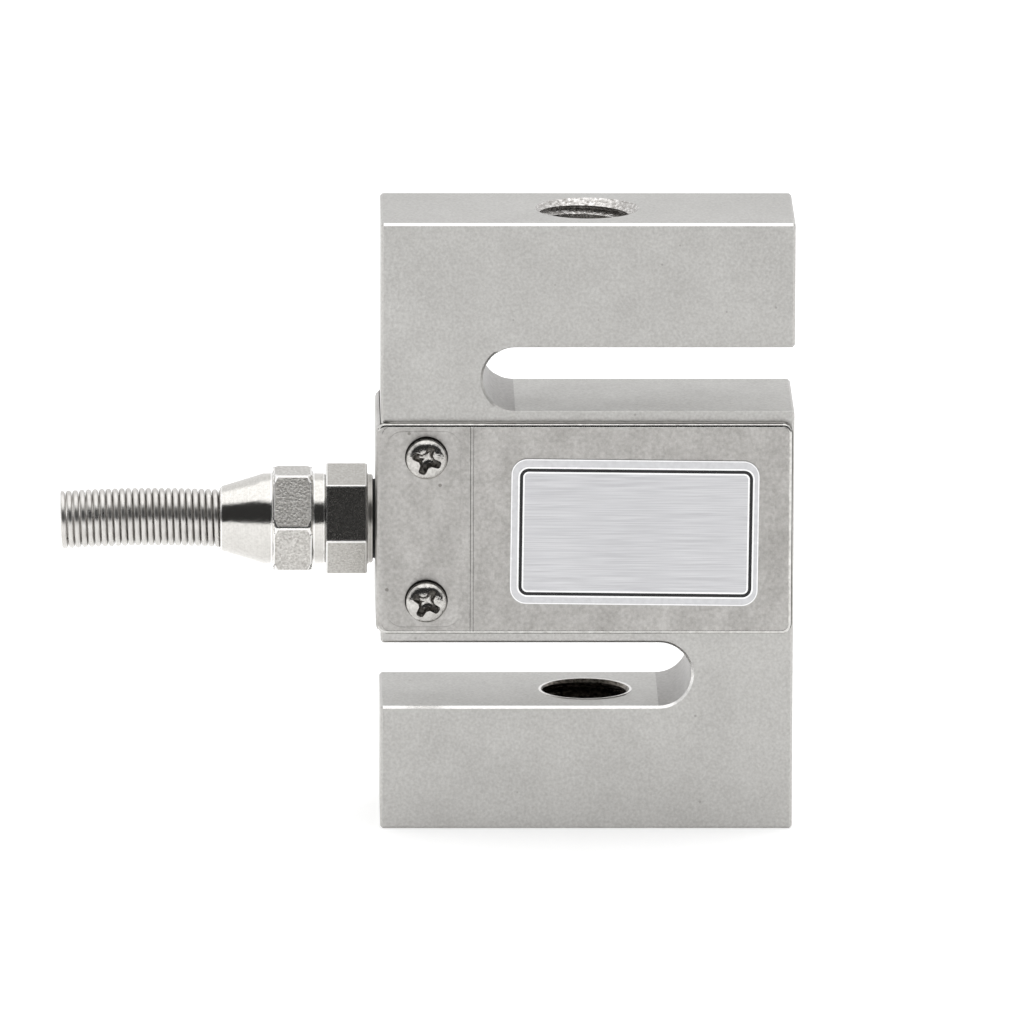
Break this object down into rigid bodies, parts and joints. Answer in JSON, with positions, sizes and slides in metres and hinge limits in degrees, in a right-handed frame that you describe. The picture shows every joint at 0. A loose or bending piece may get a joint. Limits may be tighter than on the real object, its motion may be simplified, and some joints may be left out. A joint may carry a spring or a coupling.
{
  "type": "s type load cell",
  "caption": "S-shaped steel load cell with tapped holes at both ends, a screwed cover and a side cable gland with a spring guard.",
  "frame": {"origin": "on the load axis, in the bottom face", "axes": "+Z along the load axis, from the lower tapped hole to the upper one; -Y out of the front, where the name plate is; -X out of the side with the cable gland"},
  "size_m": [0.0902, 0.025, 0.0762],
  "materials": {
    "body_nickel": "fine matt nickel plating",
    "cover_steel": "brushed stainless sheet",
    "screw_steel": "turned, bright zinc",
    "plate_foil": "brushed foil",
    "gland_nickel": "bright nickel plating",
    "spring_steel": "bright drawn wire",
    "seal_rubber": "moulded",
    "gasket_rubber": "grey silicone sheet, cut",
    "ring_nylon": "moulded",
    "carrier_film": "clear amber film",
    "gauge_foil": "etched foil",
    "board_laminate": "solder mask",
    "pad_solder": "tinned",
    "resistor_ceramic": "fired ceramic",
    "lead_copper": "enamelled copper"
  },
  "bodies": {
    "root": {"elastic_body": "body_nickel", "cover": "cover_steel", "gasket_front": "gasket_rubber", "gasket_rear": "gasket_rubber", "name_plate": "plate_foil", "gland_body": "gland_nickel", "gland_washer": "seal_rubber", "cable_seal": "seal_rubber", "clamp_ring": "ring_nylon", "compression_nut": "gland_nickel", "strain_relief_spring": "spring_steel", "gauge_carrier_front": "carrier_film", "gauge_carrier_rear": "carrier_film", "gauge_foil_front": "gauge_foil", "gauge_foil_rear": "gauge_foil", "terminal_board": "board_laminate", "terminal_pads": "pad_solder", "compensation_resistors": "resistor_ceramic", "front_leads": "lead_copper", "rear_leads": "lead_copper", "cover_screw_front_upper": "screw_steel", "cover_screw_front_lower": "screw_steel", "cover_screw_rear_upper": "screw_steel", "cover_screw_rear_lower": "screw_steel"}
  },
  "joints": []
}
